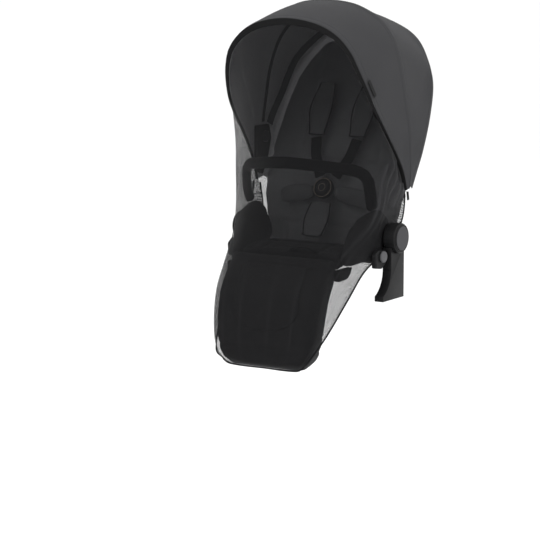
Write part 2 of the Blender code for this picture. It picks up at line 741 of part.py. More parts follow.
def add_leg_rest():
    """The padded leg rest, and the two ears on which it hangs below the seat."""
    height, depth, width = evenly(LEG_REST_ROWS, LEG_REST_STEPS).T
    centres = np.stack([np.zeros_like(depth), depth, height], axis=1)
    steps = np.arange(LEG_REST_STEPS)
    width = width - read_table(LEG_REST_NARROWER, steps)
    thickness = LEG_REST_DEPTH - read_table(LEG_REST_THINNER, steps)
    add_sweep("leg_rest", centres, (1, 0, 0), width, thickness, "seat", 16, 7)
    add_liner(centres)
    for side in (1, -1):
        inner, outer = side * EAR_INNER_X, side * EAR_OUTER_X
        add_plate(mirrored("leg_ear", side), EAR_OUTLINE, inner, outer, "plastic", 0.003)
    pull = evenly(PULL_LINE, 9)
    add_sweep("seat_pull", pull, (0, 1, 0), PULL_WIDTH, PULL_THICKNESS, "webbing", 8, 6)


def add_liner(centres):
    """A thin padded liner lies on the front of the leg rest."""
    along = unit(np.gradient(centres, axis=0))
    reach = (LEG_REST_DEPTH + LINER_THICKNESS) / 2 + 2 * GAP
    front = centres + np.cross(along, (1, 0, 0)) * reach
    front = front[np.argsort(front[:, 2])]
    top, bottom = LINER_ENDS
    heights = np.linspace(top, bottom, LINER_STEPS)
    path = [(0.0, np.interp(height, front[:, 2], front[:, 1]), height) for height in heights]
    width = LINER_WIDTH * read_table(LINER_WIDTHS, np.linspace(0, 1, LINER_STEPS))
    add_sweep("leg_liner", path, (1, 0, 0), width, LINER_THICKNESS, "seat", 16, 5)


def add_harness():
    """Two shoulder pads and straps, two waist pads, the crotch pad and the round buckle."""
    share = np.linspace(0, 1, PAD_STEPS)
    for side in (1, -1):
        across = (side, 1, 1)
        pad = evenly(np.array(SHOULDER_PAD_LINE) * across, PAD_STEPS)
        widths = read_table(SHOULDER_PAD_WIDTHS, share)
        depths = read_table(SHOULDER_PAD_DEPTHS, share)
        add_sweep(mirrored("shoulder_pad", side), pad, (1, 0, 0), widths, depths, "seat", 12, 3.5)
        strap = evenly(np.array(SHOULDER_STRAP_LINE) * across, PAD_STEPS)
        name = mirrored("shoulder_strap", side)
        add_sweep(name, strap, (1, 0, 0), STRAP_WIDTH, STRAP_THICKNESS, "webbing", 8, 8)
        waist = evenly(np.array(WAIST_PAD_LINE) * across, PAD_STEPS)
        widths = read_table(WAIST_PAD_WIDTHS, share)
        name = mirrored("waist_pad", side)
        add_sweep(name, waist, (0, 0, 1), widths, WAIST_PAD_DEPTH, "seat", 12, 3.5)
    crotch = evenly(CROTCH_PAD_LINE, PAD_STEPS)
    widths = read_table(CROTCH_PAD_WIDTHS, share)
    add_sweep("crotch_pad", crotch, (1, 0, 0), widths, CROTCH_PAD_DEPTH, "seat", 12, 3.5)
    add_turned("buckle", BUCKLE_PLACE, BUCKLE_AXIS, BUCKLE_PROFILE, "plastic", 28)
    face = np.array(BUCKLE_PLACE) + unit(BUCKLE_AXIS) * (BUCKLE_PROFILE[-1][0] + GAP)
    add_turned("buckle_button", face, BUCKLE_AXIS, BUTTON_PROFILE, "plastic", 24)


# What carries the seat
def add_bumper_bar():
    """A padded bar from one side wall round the front to the other."""
    right = np.array(BAR_LINE)
    path = evenly(np.vstack([right * (-1, 1, 1), right[-2::-1]]), BAR_STEPS + 1)
    along = unit(np.gradient(path, axis=0))
    toward = np.array(SEAT_CENTRE) - path
    inward = unit(toward - along * np.sum(toward * along, axis=1, keepdims=True))
    upward = np.cross(along, inward)
    add_sweep("bumper_bar", path, upward, BAR_HEIGHT, BAR_THICKNESS, "webbing", 12, 2.6)


def add_carriers():
    """A round hub on each side, an arm below it and a catch in front of it."""
    for side in (1, -1):
        axis = (side, 0, 0)
        back = (side * HUB_INNER_X, HUB_DEPTH, HUB_HEIGHT)
        add_turned(mirrored("hub", side), back, axis, HUB_PROFILE, "plastic", 32)
        face = (side * (HUB_OUTER_X + GAP), HUB_DEPTH, HUB_HEIGHT)
        add_turned(mirrored("hub_cap", side), face, axis, HUB_CAP_PROFILE, "plastic", 32)
        inner, outer = side * ARM_INNER_X, side * ARM_OUTER_X
        add_plate(mirrored("arm", side), arm_outline(), inner, outer, "arm", 0.004)
        inner, outer = side * CATCH_INNER_X, side * CATCH_OUTER_X
        add_plate(mirrored("catch", side), CATCH_OUTLINE, inner, outer, "plastic", 0.003)


def arm_outline():
    """The arm seen from the side: hollowed round the hub at its top, with a toe reaching forward."""
    front, back = HUB_DEPTH - ARM_WIDTH / 2, HUB_DEPTH + ARM_WIDTH / 2
    reach = HUB_RADIUS + 2 * GAP
    half = np.arcsin(ARM_WIDTH / 2 / reach)
    saddle = []
    for angle in np.linspace(-half, half, SADDLE_POINTS):
        saddle.append((HUB_DEPTH + reach * np.sin(angle), HUB_HEIGHT - reach * np.cos(angle)))
    sole = (
        (back, SOLE_HEIGHT),
        (front - TOE_REACH, SOLE_HEIGHT),
        (front - TOE_REACH, SOLE_HEIGHT + TOE_TIP_HEIGHT),
        (front, SOLE_HEIGHT + TOE_ROOT_HEIGHT),
    )
    return tuple(saddle) + sole


def settle():
    """Moves the whole part so that its origin is midway between the arms' soles."""
    move = Matrix.Translation((0.0, -HUB_DEPTH, -SOLE_HEIGHT))
    for thing in bpy.data.objects:
        thing.data.transform(move)


clear_scene()
net = add_net()
add_binding()
add_elastic(net)
add_loops()
add_label()
add_hood()
add_hood_hinges()
add_backrest()
add_seat()
add_leg_rest()
add_harness()
add_bumper_bar()
add_carriers()
settle()
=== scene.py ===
"""A stroller's mosquito net, hooked over the rim of the hood and stretched down to the foot of the seat.

Metres, +Z up, the front is -Y and +X is the seated child's left.
"""
import math

import bmesh
import bpy
import mathutils
import numpy as np
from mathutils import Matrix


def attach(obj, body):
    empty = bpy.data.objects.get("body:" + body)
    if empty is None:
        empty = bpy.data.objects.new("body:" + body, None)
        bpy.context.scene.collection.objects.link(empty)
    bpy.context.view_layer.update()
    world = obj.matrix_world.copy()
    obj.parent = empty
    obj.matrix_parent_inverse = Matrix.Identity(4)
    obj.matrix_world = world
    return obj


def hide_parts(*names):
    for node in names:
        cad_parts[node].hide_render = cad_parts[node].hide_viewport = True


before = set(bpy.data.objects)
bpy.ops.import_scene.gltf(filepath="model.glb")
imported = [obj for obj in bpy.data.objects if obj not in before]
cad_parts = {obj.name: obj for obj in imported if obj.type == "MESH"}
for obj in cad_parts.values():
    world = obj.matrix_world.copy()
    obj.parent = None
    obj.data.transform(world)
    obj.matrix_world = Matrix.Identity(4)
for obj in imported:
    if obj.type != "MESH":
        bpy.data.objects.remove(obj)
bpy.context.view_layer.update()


# The view: a plain pale floor well below the seat, a white room and soft studio lights.
# The camera stands to the child's left of the front, a little above the hood's middle.
FLOOR_HEIGHT, FLOOR_SIZE = -0.52, 110
ROOM_LIGHT = 1.08
CAMERA_PLACE = (2.558, -4.285, 0.834)
CAMERA_PITCH, CAMERA_YAW = 8.87, 32.13
CAMERA_LENS = 146.07
LIGHTS = (
    # name, place, size, watts, aimed at
    ("key_light", (-1.6, -2.6, 2.6), 1.8, 34, (0.0, -0.1, 0.25)),
    ("fill_light", (2.8, -1.6, 1.6), 2.0, 36, (0.1, -0.05, 0.30)),
    ("top_light", (0.6, 0.6, 2.9), 1.6, 26, (0.0, 0.0, 0.45)),
)

bpy.ops.mesh.primitive_plane_add(size=FLOOR_SIZE, location=(0, 0, FLOOR_HEIGHT))
floor = bpy.context.object
floor.name = "studio_floor"
floor_paint = bpy.data.materials.new("floor_paint")
floor_paint.use_nodes = True
floor_shader = floor_paint.node_tree.nodes["Principled BSDF"]
floor_shader.inputs["Base Color"].default_value = (0.94, 0.94, 0.94, 1)
floor_shader.inputs["Roughness"].default_value = 0.9
floor.data.materials.append(floor_paint)

room = bpy.data.worlds.new("pale_room")
room.use_nodes = True
backdrop = room.node_tree.nodes["Background"]
backdrop.inputs["Color"].default_value = (1, 1, 1, 1)
backdrop.inputs["Strength"].default_value = ROOM_LIGHT
bpy.context.scene.world = room
bpy.context.scene.view_settings.view_transform = "Standard"

for name, place, size, watts, target in LIGHTS:
    bpy.ops.object.light_add(type="AREA", location=place)
    lamp = bpy.context.object
    lamp.name = name
    lamp.data.size = size
    lamp.data.energy = watts
    aim = np.subtract(place, target)
    flat_reach = math.hypot(aim[0], aim[1])
    lamp.rotation_euler = (math.atan2(flat_reach, aim[2]), 0, math.atan2(aim[0], -aim[1]))

bpy.ops.object.camera_add(location=CAMERA_PLACE)
camera = bpy.context.object
camera.rotation_euler = (math.radians(90 - CAMERA_PITCH), 0, math.radians(CAMERA_YAW))
camera.data.sensor_width = 36
camera.data.lens = CAMERA_LENS
camera.data.clip_end = 120
bpy.context.scene.camera = camera


# The hood's rim binding: a black woven edging, broad over the top and narrow down the sides,
# folded round the net's upper edge and hooked over the front hoop of the hood.
FRONT_HOOP = (
    # height, half width, depth in millimetres, from the foot up to the top
    (241, 202.5, 49), (280, 202, 35), (318, 199.5, 12), (358, 196.5, -19), (398, 195, -53),
    (438, 191.5, -84), (478, 185, -106), (518, 174.5, -124), (558, 158, -135), (592, 128, -140),
    (614, 90, -144), (626, 45, -147), (630, 0, -148),
)
ACROSS = 160
BINDING_SIDE, BINDING_TOP = 0.006, 0.016
BINDING_THICKNESS = 0.0030
RIM_AIM = (0.0, -0.038, 0.318)
# Up to these angles between faces, in radians, a band or a sheet is shaded smooth
BAND_SMOOTH, SHEET_SMOOTH = 0.8, 1.2


def unit(vectors):
    vectors = np.asarray(vectors, float)
    return vectors / np.linalg.norm(vectors, axis=-1, keepdims=True)


def run_along(points):
    """The length of the line through the points, up to each of them."""
    return np.concatenate([[0], np.cumsum(np.linalg.norm(np.diff(points, axis=0), axis=1))])


def curve_at(points, where):
    """A smooth curve through the points, read at places from 0 to the last point's number."""
    points = np.asarray(points, float)
    slopes = np.gradient(points, axis=0)
    where = np.clip(np.asarray(where, float), 0, len(points) - 1)
    start = np.minimum(where.astype(int), len(points) - 2)
    t = (where - start).reshape((-1,) + (1,) * (points.ndim - 1))
    rise = 3 * t**2 - 2 * t**3
    return (
        (1 - rise) * points[start] + rise * points[start + 1]
        + (t**3 - 2 * t**2 + t) * slopes[start] + (t**3 - t**2) * slopes[start + 1]
    )


def evenly(points, count, fine=24):
    """The smooth curve through the points, at evenly spaced places along its length."""
    dense = curve_at(points, np.linspace(0, len(points) - 1, (len(points) - 1) * fine + 1))
    run = run_along(dense)
    places = np.linspace(0, run[-1], count)
    return np.stack([np.interp(places, run, dense[:, k]) for k in range(dense.shape[1])], axis=1)


def arch(rows, count):
    """A hoop from its left foot over its top to its right foot, in metres."""
    right = np.array([(half_width, depth, height) for height, half_width, depth in rows]) / 1000
    return evenly(np.vstack([right * (-1, 1, 1), right[-2::-1]]), count)


def rim_frame(count):
    """Points of the rim with its inward and forward directions."""
    rim = arch(FRONT_HOOP, count)
    along = unit(np.gradient(rim, axis=0))
    toward = np.array(RIM_AIM) - rim
    inward = unit(toward - along * np.sum(toward * along, axis=1, keepdims=True))
    forward = np.cross(along, inward)
    forward *= -np.sign(forward[len(rim) // 2, 1])
    return rim, inward, forward


def binding_width(rim):
    lowest, highest = rim[:, 2].min(), rim[:, 2].max()
    rise = np.clip((rim[:, 2] - lowest) / (highest - lowest), 0, 1)
    return BINDING_SIDE + (BINDING_TOP - BINDING_SIDE) * rise**3


def band(name, path, across, widths, depths, sides=12, power=4.0):
    """A closed band of rounded section along a path, with its cloth map in metres along and round."""
    path = np.asarray(path, float)
    count = len(path)
    along = unit(np.gradient(path, axis=0))
    across = np.broadcast_to(np.asarray(across, float), path.shape)
    across = unit(across - along * np.sum(across * along, axis=1, keepdims=True))
    out = np.cross(along, across)
    widths = np.broadcast_to(np.asarray(widths, float), (count,))
    depths = np.broadcast_to(np.asarray(depths, float), (count,))
    turn = (np.arange(sides) + 0.5) * 2 * np.pi / sides
    wide = np.sign(np.cos(turn)) * np.abs(np.cos(turn)) ** (2 / power)
    deep = np.sign(np.sin(turn)) * np.abs(np.sin(turn)) ** (2 / power)
    rings = (
        path[:, None]
        + across[:, None] * (widths[:, None] / 2 * wide)[..., None]
        + out[:, None] * (depths[:, None] / 2 * deep)[..., None]
    )
    run = run_along(path)
    mesh = bpy.data.meshes.new(name)
    faces, corners = [], []
    for r in range(count - 1):
        for k in range(sides):
            n = (k + 1) % sides
            faces.append((r * sides + k, r * sides + n, (r + 1) * sides + n, (r + 1) * sides + k))
            for ring, side in ((r, k), (r, k + 1), (r + 1, k + 1), (r + 1, k)):
                corners.append((run[ring], wide[side % sides] * widths[ring] / 2))
    for ring in (0, count - 1):
        faces.append(tuple(ring * sides + k for k in range(sides)))
        corners += [(run[ring], wide[k] * widths[ring] / 2) for k in range(sides)]
    mesh.from_pydata(rings.reshape(-1, 3).tolist(), [], faces)
    cloth = mesh.uv_layers.new(name="cloth")
    cloth.data.foreach_set("uv", np.array(corners, np.float32).ravel())
    return place_mesh(name, mesh)


def place_mesh(name, mesh, angle=BAND_SMOOTH):
    """Links the mesh as a piece, with its faces outwards and smooth up to the angle."""
    work = bmesh.new()
    work.from_mesh(mesh)
    bmesh.ops.recalc_face_normals(work, faces=work.faces)
    if all(edge.is_manifold for edge in work.edges) and work.calc_volume(signed=True) < 0:
        bmesh.ops.reverse_faces(work, faces=work.faces)
    work.to_mesh(mesh)
    work.free()
    mesh.shade_smooth()
    mesh.set_sharp_from_angle(angle=angle)
    thing = bpy.data.objects.new(name, mesh)
    bpy.context.scene.collection.objects.link(thing)
    return thing


CLOTH_SHEEN, SHEEN_ROUGHNESS, CLOTH_SPECULAR = 0.03, 0.6, 0.12
PATCH_SCALE, PATCH_DETAIL = 14, 5
WEAVE_SHARE, PATCH_SHARE = 0.55, 0.6
WEAVE_STRENGTH = 0.7


def maths(tree, operation, *values):
    """A maths node on the values, each a number or another node's output."""
    node = tree.nodes.new("ShaderNodeMath")
    node.operation = operation
    for socket, value in zip(node.inputs, values):
        if isinstance(value, (int, float)):
            socket.default_value = value
        else:
            tree.links.new(value, socket)
    return node.outputs[0]


def around(colour, spread):
    """The colour a little darker and a little lighter."""
    return [c * (1 - spread) for c in colour], [c * (1 + spread) for c in colour]


def two_shades(tree, blend, dark, light):
    """Gives the shader a colour that goes from the dark shade to the light one with the blend."""
    shade = tree.nodes.new("ShaderNodeMix")
    shade.data_type = "RGBA"
    shade.inputs[6].default_value, shade.inputs[7].default_value = (*dark, 1), (*light, 1)
    tree.links.new(blend, shade.inputs[0])
    tree.links.new(shade.outputs[2], tree.nodes["Principled BSDF"].inputs["Base Color"])


def raised(tree, height, depth, strength):
    """Gives the shader a bump of this depth in metres."""
    bump = tree.nodes.new("ShaderNodeBump")
    bump.inputs["Distance"].default_value = depth
    bump.inputs["Strength"].default_value = strength
    tree.links.new(height, bump.inputs["Height"])
    tree.links.new(bump.outputs[0], tree.nodes["Principled BSDF"].inputs["Normal"])


def cloth_dye(name, colour, rough=0.9, pitch=0.0009, depth=0.0002, mottle=0.25, space="uv"):
    """Woven cloth: a plain weave in its colour and bump, with slow patches where it has rubbed."""
    dye = bpy.data.materials.new(name)
    dye.use_nodes = True
    tree = dye.node_tree
    shader = tree.nodes["Principled BSDF"]
    shader.inputs["Roughness"].default_value = rough
    shader.inputs["Sheen Weight"].default_value = CLOTH_SHEEN
    shader.inputs["Sheen Roughness"].default_value = SHEEN_ROUGHNESS
    shader.inputs["Specular IOR Level"].default_value = CLOTH_SPECULAR
    place = tree.nodes.new("ShaderNodeTexCoord")
    where = place.outputs["UV" if space == "uv" else "Object"]
    parts = tree.nodes.new("ShaderNodeSeparateXYZ")
    tree.links.new(where, parts.inputs[0])
    if space == "uv":
        ways = parts.outputs[:2]
    else:
        half_depth = maths(tree, "MULTIPLY", parts.outputs[1], 0.5)
        ways = (
            maths(tree, "ADD", parts.outputs[0], parts.outputs[1]),
            maths(tree, "SUBTRACT", parts.outputs[2], half_depth),
        )
    waves = [maths(tree, "SINE", maths(tree, "MULTIPLY", way, 2 * math.pi / pitch)) for way in ways]
    weave = maths(tree, "MULTIPLY_ADD", maths(tree, "MULTIPLY", *waves), 0.5, 0.5)
    patches = tree.nodes.new("ShaderNodeTexNoise")
    patches.inputs["Scale"].default_value = PATCH_SCALE
    patches.inputs["Detail"].default_value = PATCH_DETAIL
    tree.links.new(place.outputs["Object"], patches.inputs["Vector"])
    rubbed = maths(tree, "MULTIPLY", patches.outputs[0], PATCH_SHARE)
    blend = maths(tree, "MULTIPLY_ADD", weave, WEAVE_SHARE, rubbed)
    two_shades(tree, blend, *around(colour, mottle))
    raised(tree, weave, depth, WEAVE_STRENGTH)
    return dye


rim, rim_inward, rim_forward = rim_frame(ACROSS + 1)
rim_width = binding_width(rim)
binding_dye = cloth_dye("binding_edging", (0.0030, 0.0030, 0.0033), 0.85, 0.0016, 0.0003)
share = np.linspace(0, 1, ACROSS + 1)
# The edging is pulled a little in and out where it is stitched, more in some stretches than others
PUCKER, PUCKERS, STRETCHES = 0.035, 61, 7
slow = np.sin(share * 2 * np.pi * STRETCHES) ** 2
pucker = 1 + PUCKER * np.sin(share * 2 * np.pi * PUCKERS) * slow
rim_binding = band(
    "net_rim_binding", rim + rim_inward * (rim_width / 2)[:, None], rim_inward,
    rim_width * pucker, BINDING_THICKNESS * pucker, sides=14, power=5,
)
rim_binding.data.materials.append(binding_dye)
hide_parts("rim_binding")
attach(rim_binding, "root")


# The net: one piece of fine black mesh, gathered a little down its sides, that hangs from the
# binding, passes between the seat and the hubs, and closes round the leg rest. The mesh is
# see-through: its threads are drawn on the cloth's own map, and soft gathers stand out of it.
NET_LEVELS = (
    # rear edge, side, corner and front as x, y, z; middle as y, z, in millimetres
    ((193.5, 53, 223), (204, 0, 280), (195.5, -51, 353), (110, -138, 438), (-158, 473)),
    ((187, 51, 170), (193, -18, 223), (188, -55, 288), (100, -126, 314), (-162, 324)),
    ((181.3, 7, 118), (181.2, -28, 148), (178, -77, 181), (100, -155, 203), (-186, 208)),
    ((174, -92, 73), (173, -120, 86), (146, -156, 98), (90, -187, 108), (-198, 112)),
    ((158, -142, 12), (148, -188, 18), (131.5, -227, 20), (80, -235.5, 18), (-237, 18)),
    ((141, -206, -62), (136, -228, -65), (124.5, -245.5, -66), (77, -252, -65), (-253, -65)),
    ((121.5, -244, -109), (116, -247, -110), (109, -252, -113), (67, -256, -120), (-257, -123)),
    ((101.5, -243, -131), (94, -243, -135), (83, -242, -138), (50, -241, -140), (-240, -140)),
)
NET_DOWN, LEVEL_POINTS = 150, 9
NET_REACH, NET_FOOT_REACH = 0.0005, 0.0040
NET_FOLDS = (
    # across, drift, width, height, start, end
    (0.50, -0.02, 0.045, 0.0050, 0.10, 0.44),
    (0.60, -0.03, 0.040, 0.0060, 0.08, 0.40),
    (0.70, -0.04, 0.038, 0.0065, 0.06, 0.35),
    (0.81, -0.05, 0.036, 0.0055, 0.05, 0.31),
    (-0.54, 0.03, 0.048, 0.0030, 0.10, 0.42),
    (-0.67, 0.04, 0.042, 0.0035, 0.07, 0.36),
    (-0.80, 0.05, 0.038, 0.0035, 0.05, 0.31),
)
# Small gathers that only the cloth shows: where, drift, width, height, start, end
NET_GATHERS = (
    (0.555, -0.055, 0.0160, 0.0018, 0.10, 0.50),
    (0.635, -0.075, 0.0140, 0.0022, 0.05, 0.46),
    (0.690, -0.060, 0.0090, 0.0014, 0.02, 0.34),
    (0.745, -0.080, 0.0150, 0.0022, 0.03, 0.42),
    (0.805, -0.070, 0.0100, 0.0015, 0.00, 0.30),
    (0.860, -0.060, 0.0130, 0.0018, 0.04, 0.36),
    (0.910, -0.050, 0.0080, 0.0012, 0.02, 0.28),
    (0.950, -0.040, 0.0070, 0.0012, 0.00, 0.26),
    (0.480, 0.030, 0.0100, 0.0007, 0.34, 0.60),
    (0.560, 0.040, 0.0080, 0.0008, 0.36, 0.74),
    (0.700, 0.050, 0.0080, 0.0008, 0.42, 0.86),
    (0.820, 0.030, 0.0070, 0.0007, 0.46, 0.90),
    (-0.620, 0.060, 0.0080, 0.0014, 0.08, 0.46),
    (-0.720, 0.060, 0.0080, 0.0016, 0.04, 0.42),
    (-0.800, 0.050, 0.0070, 0.0014, 0.02, 0.34),
    (-0.880, 0.040, 0.0070, 0.0012, 0.02, 0.30),
    (-0.560, -0.020, 0.0080, 0.0006, 0.36, 0.80),
    (-0.180, 0.010, 0.0100, 0.0005, 0.46, 0.98),
    (0.060, -0.010, 0.0090, 0.0005, 0.44, 0.96),
    (0.240, 0.020, 0.0100, 0.0006, 0.42, 0.98),
    (-0.360, 0.010, 0.0100, 0.0005, 0.48, 0.98),
)
HUB_PLACE, HUB_RADIUS = (0.0, 0.1375), 0.034
PASS_LIMIT, PASS_REACH, PASS_SLOPE, PASS_END = 0.1822, 0.012, 0.4, 0.020
THREAD_PITCH, THREAD_WIDTH, DENSE_EXTRA = 0.0016, 0.36, 0.26
NET_ROUGHNESS, NET_SHEEN, NET_SPECULAR = 0.65, 0.02, 0.08
# The dark colour is the thread's own; the pale one is a painted highlight on the gathers, edges and hem
NET_DARK, NET_PAINTED_HIGHLIGHT = (0.0060, 0.0060, 0.0066), (0.0300, 0.0300, 0.0320)
# How densely the mesh is drawn together, from 0 to 1, and where; the same share paints the threads paler
# there, a painted highlight
GATHER_FULL, HEM_START, HEM_DENSITY = 0.0022, 0.955, 0.9
EDGE_REACH, EDGE_DENSITY = 0.05, 0.30
LEFT_PULL, RIGHT_PULL, PULL_LEAST = 0.80, 0.22, 0.35
PULL_SLOPE, PULL_OFFSET = 3, 1.5


def grid_normals(grid):
    return unit(np.cross(np.gradient(grid, axis=1), np.gradient(grid, axis=0)))


def fold_height(folds, across, down):
    """How far the folds stand out of the cloth, by row and column."""
    height = np.zeros((len(down), len(across)))
    for centre, drift, width, tall, start, end in folds:
        run = np.clip((down[:, None] - start) / (end - start), 0, 1)
        swell = np.sin(np.pi * run) ** 1.5
        height += tall * swell * np.exp(-(((across[None] - centre - drift * run) / width) ** 2))
    return height


def net_top_row(count):
    """The net's upper edge, just inside the binding."""
    rim_points, inward, forward = rim_frame(count)
    width = binding_width(rim_points)
    reach = width + NET_REACH + NET_FOOT_REACH * (BINDING_TOP - width) / BINDING_TOP
    return rim_points + inward * reach[:, None]


levels = [net_top_row(LEVEL_POINTS)]
for rear, side, corner, front, middle in NET_LEVELS:
    half = np.array([rear, side, corner, front]) / 1000
    levels.append(np.vstack([half * (-1, 1, 1), np.array([[0.0, *middle]]) / 1000, half[::-1]]))
columns = curve_at(np.array(levels).transpose(1, 0, 2), np.linspace(0, LEVEL_POINTS - 1, ACROSS + 1))
columns[:, 0] = net_top_row(ACROSS + 1)
net_grid = curve_at(columns.transpose(1, 0, 2), np.linspace(0, len(NET_LEVELS), NET_DOWN + 1))
across_net = np.linspace(-1, 1, ACROSS + 1)
down_net = np.linspace(0, 1, NET_DOWN + 1)
gathers = fold_height(NET_GATHERS, across_net, down_net)
relief = fold_height(NET_FOLDS, across_net, down_net) + gathers
net_grid = net_grid - grid_normals(net_grid) * relief[..., None]
off_hub = np.hypot(net_grid[..., 1] - HUB_PLACE[0], net_grid[..., 2] - HUB_PLACE[1])
away = np.maximum(off_hub - HUB_RADIUS - PASS_REACH, 0)
limit = np.where(away < PASS_END, PASS_LIMIT + away * PASS_SLOPE, np.inf)
net_grid[..., 0] = np.clip(net_grid[..., 0], -limit, limit)


def lay_cloth(name, grid, thickness=0.0, marks=None):
    """A sheet over a grid of points, single or closed, with its cloth map in metres."""
    rows, wide = grid.shape[:2]
    normals = grid_normals(grid)
    far = rows * wide
    points = [(grid + normals * thickness / 2).reshape(-1, 3)]
    steps_across = np.linalg.norm(np.diff(grid, axis=1), axis=-1)
    steps_down = np.linalg.norm(np.diff(grid, axis=0), axis=-1)
    u = np.concatenate([np.zeros((rows, 1)), np.cumsum(steps_across, axis=1)], axis=1)
    u -= u[:, wide // 2][:, None]
    v = np.concatenate([np.zeros((1, wide)), np.cumsum(steps_down, axis=0)])
    flat_map = np.stack([u, v], axis=-1).reshape(-1, 2)
    index = np.arange(rows * wide).reshape(rows, wide)
    a, b = index[:-1, :-1].ravel(), index[1:, :-1].ravel()
    faces = np.stack([a, a + 1, b + 1, b], axis=1)
    if thickness:
        points.append((grid - normals * thickness / 2).reshape(-1, 3))
        flat_map = np.vstack([flat_map, flat_map])
        rim_line = np.concatenate([index[0], index[1:, -1], index[-1, -2::-1], index[-2:0:-1, 0]])
        ahead = np.roll(rim_line, -1)
        walls = np.stack([rim_line, far + rim_line, far + ahead, ahead], axis=1)
        faces = np.vstack([faces, faces[:, ::-1] + far, walls])
    mesh = bpy.data.meshes.new(name)
    mesh.from_pydata(np.vstack(points).tolist(), [], faces.tolist())
    if marks is not None:
        layer = mesh.attributes.new("net_density_highlight", "FLOAT", "POINT")
        layer.data.foreach_set("value", np.tile(marks.ravel(), 2 if thickness else 1).astype(np.float32))
    cloth = mesh.uv_layers.new(name="cloth")
    loops = np.empty(len(mesh.loops), np.int32)
    mesh.loops.foreach_get("vertex_index", loops)
    cloth.data.foreach_set("uv", flat_map[loops].astype(np.float32).ravel())
    return place_mesh(name, mesh, SHEET_SMOOTH)


# The mesh is denser where it is drawn together: in its gathers, along its free edges, in the
# turned hem at its foot, and down the side that is pulled round the leg rest. There its threads are wider
# and also painted paler, a painted highlight.
to_hem = np.clip((down_net - HEM_START) / (1 - HEM_START), 0, 1)[:, None]
to_side = np.exp(-((1 - np.abs(across_net)) / EDGE_REACH) ** 2)[None]
outer_share = np.clip(np.abs(across_net[None]) * PULL_SLOPE - PULL_OFFSET, 0, 1)
pulled = np.where(across_net < 0, LEFT_PULL, RIGHT_PULL)[None] * outer_share
density_and_highlight = np.clip(gathers / GATHER_FULL, 0, 1) + to_hem * HEM_DENSITY
density_and_highlight += (to_side * EDGE_DENSITY + pulled) * np.clip(down_net * PULL_SLOPE, PULL_LEAST, 1)[:, None]
net = lay_cloth("net_mesh", net_grid, marks=np.clip(density_and_highlight, 0, 1))
net_dye = bpy.data.materials.new("mosquito_mesh")
net_dye.use_nodes = True
net_tree = net_dye.node_tree
net_shader = net_tree.nodes["Principled BSDF"]
net_shader.inputs["Roughness"].default_value = NET_ROUGHNESS
net_shader.inputs["Sheen Weight"].default_value = NET_SHEEN
net_shader.inputs["Specular IOR Level"].default_value = NET_SPECULAR
net_place = net_tree.nodes.new("ShaderNodeTexCoord")
net_parts = net_tree.nodes.new("ShaderNodeSeparateXYZ")
net_tree.links.new(net_place.outputs["UV"], net_parts.inputs[0])
density_highlight_node = net_tree.nodes.new("ShaderNodeAttribute")
density_highlight_node.attribute_name = "net_density_highlight"
density_and_highlight_mark = density_highlight_node.outputs["Fac"]
thread_width = maths(net_tree, "MULTIPLY_ADD", density_and_highlight_mark, DENSE_EXTRA, THREAD_WIDTH)
threads = []
for way in net_parts.outputs[:2]:
    into_pitch = maths(net_tree, "FRACT", maths(net_tree, "MULTIPLY", way, 1 / THREAD_PITCH))
    threads.append(maths(net_tree, "LESS_THAN", into_pitch, thread_width))
net_tree.links.new(maths(net_tree, "MAXIMUM", *threads), net_shader.inputs["Alpha"])
# Painted highlight: the threads go paler where the mesh is drawn together
two_shades(net_tree, density_and_highlight_mark, NET_DARK, NET_PAINTED_HIGHLIGHT)
net.data.materials.append(net_dye)
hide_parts("net_body")
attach(net, "root")


# The elastic edge: one thin black elastic sewn along the net's free edge, from one foot of
# the rim, round the foot of the leg rest, to the other. It is shirred, so it ripples finely.
ELASTIC_WIDTH, ELASTIC_THICKNESS = 0.0042, 0.0028
ELASTIC_RIPPLE, RIPPLE_PITCH, ELASTIC_STEP = 0.10, 0.0065, 0.0016
ROWS_SKIPPED = 10

net_normals = grid_normals(net_grid)


def free_edge(values):
    """The values along the net's free edge: down its left side, along its foot and up its right."""
    return np.vstack([values[ROWS_SKIPPED:, 0], values[-1, 1:], values[-2:ROWS_SKIPPED:-1, -1]])


edge_line, edge_facing = free_edge(net_grid), free_edge(net_normals)
edge_steps = unit(np.diff(edge_line, axis=0))
edge_out = unit(np.cross(edge_steps, edge_facing[:-1] + edge_facing[1:]))
edge_out *= np.sign(np.sum(edge_out[0] * (net_grid[ROWS_SKIPPED, 0] - net_grid[ROWS_SKIPPED, 1])))
before, after = np.vstack([edge_out[:1], edge_out]), np.vstack([edge_out, edge_out[-1:]])
mitre = (before + after) / (1 + np.sum(before * after, axis=1, keepdims=True))
elastic_path = edge_line + mitre * ELASTIC_WIDTH / 2
elastic_run = run_along(elastic_path)
elastic_at = np.linspace(0, elastic_run[-1], int(elastic_run[-1] / ELASTIC_STEP))
fine_path = np.stack([np.interp(elastic_at, elastic_run, elastic_path[:, k]) for k in range(3)], axis=1)
fine_out = unit(np.stack([np.interp(elastic_at, elastic_run, mitre[:, k]) for k in range(3)], axis=1))
ripple = 1 + ELASTIC_RIPPLE * np.sin(elastic_at * 2 * np.pi / RIPPLE_PITCH)
elastic = band(
    "net_elastic_edge", fine_path, fine_out,
    ELASTIC_WIDTH * ripple, ELASTIC_THICKNESS * ripple, sides=8, power=3,
)
elastic.data.materials.append(binding_dye)
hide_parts("elastic_edge")
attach(elastic, "root")


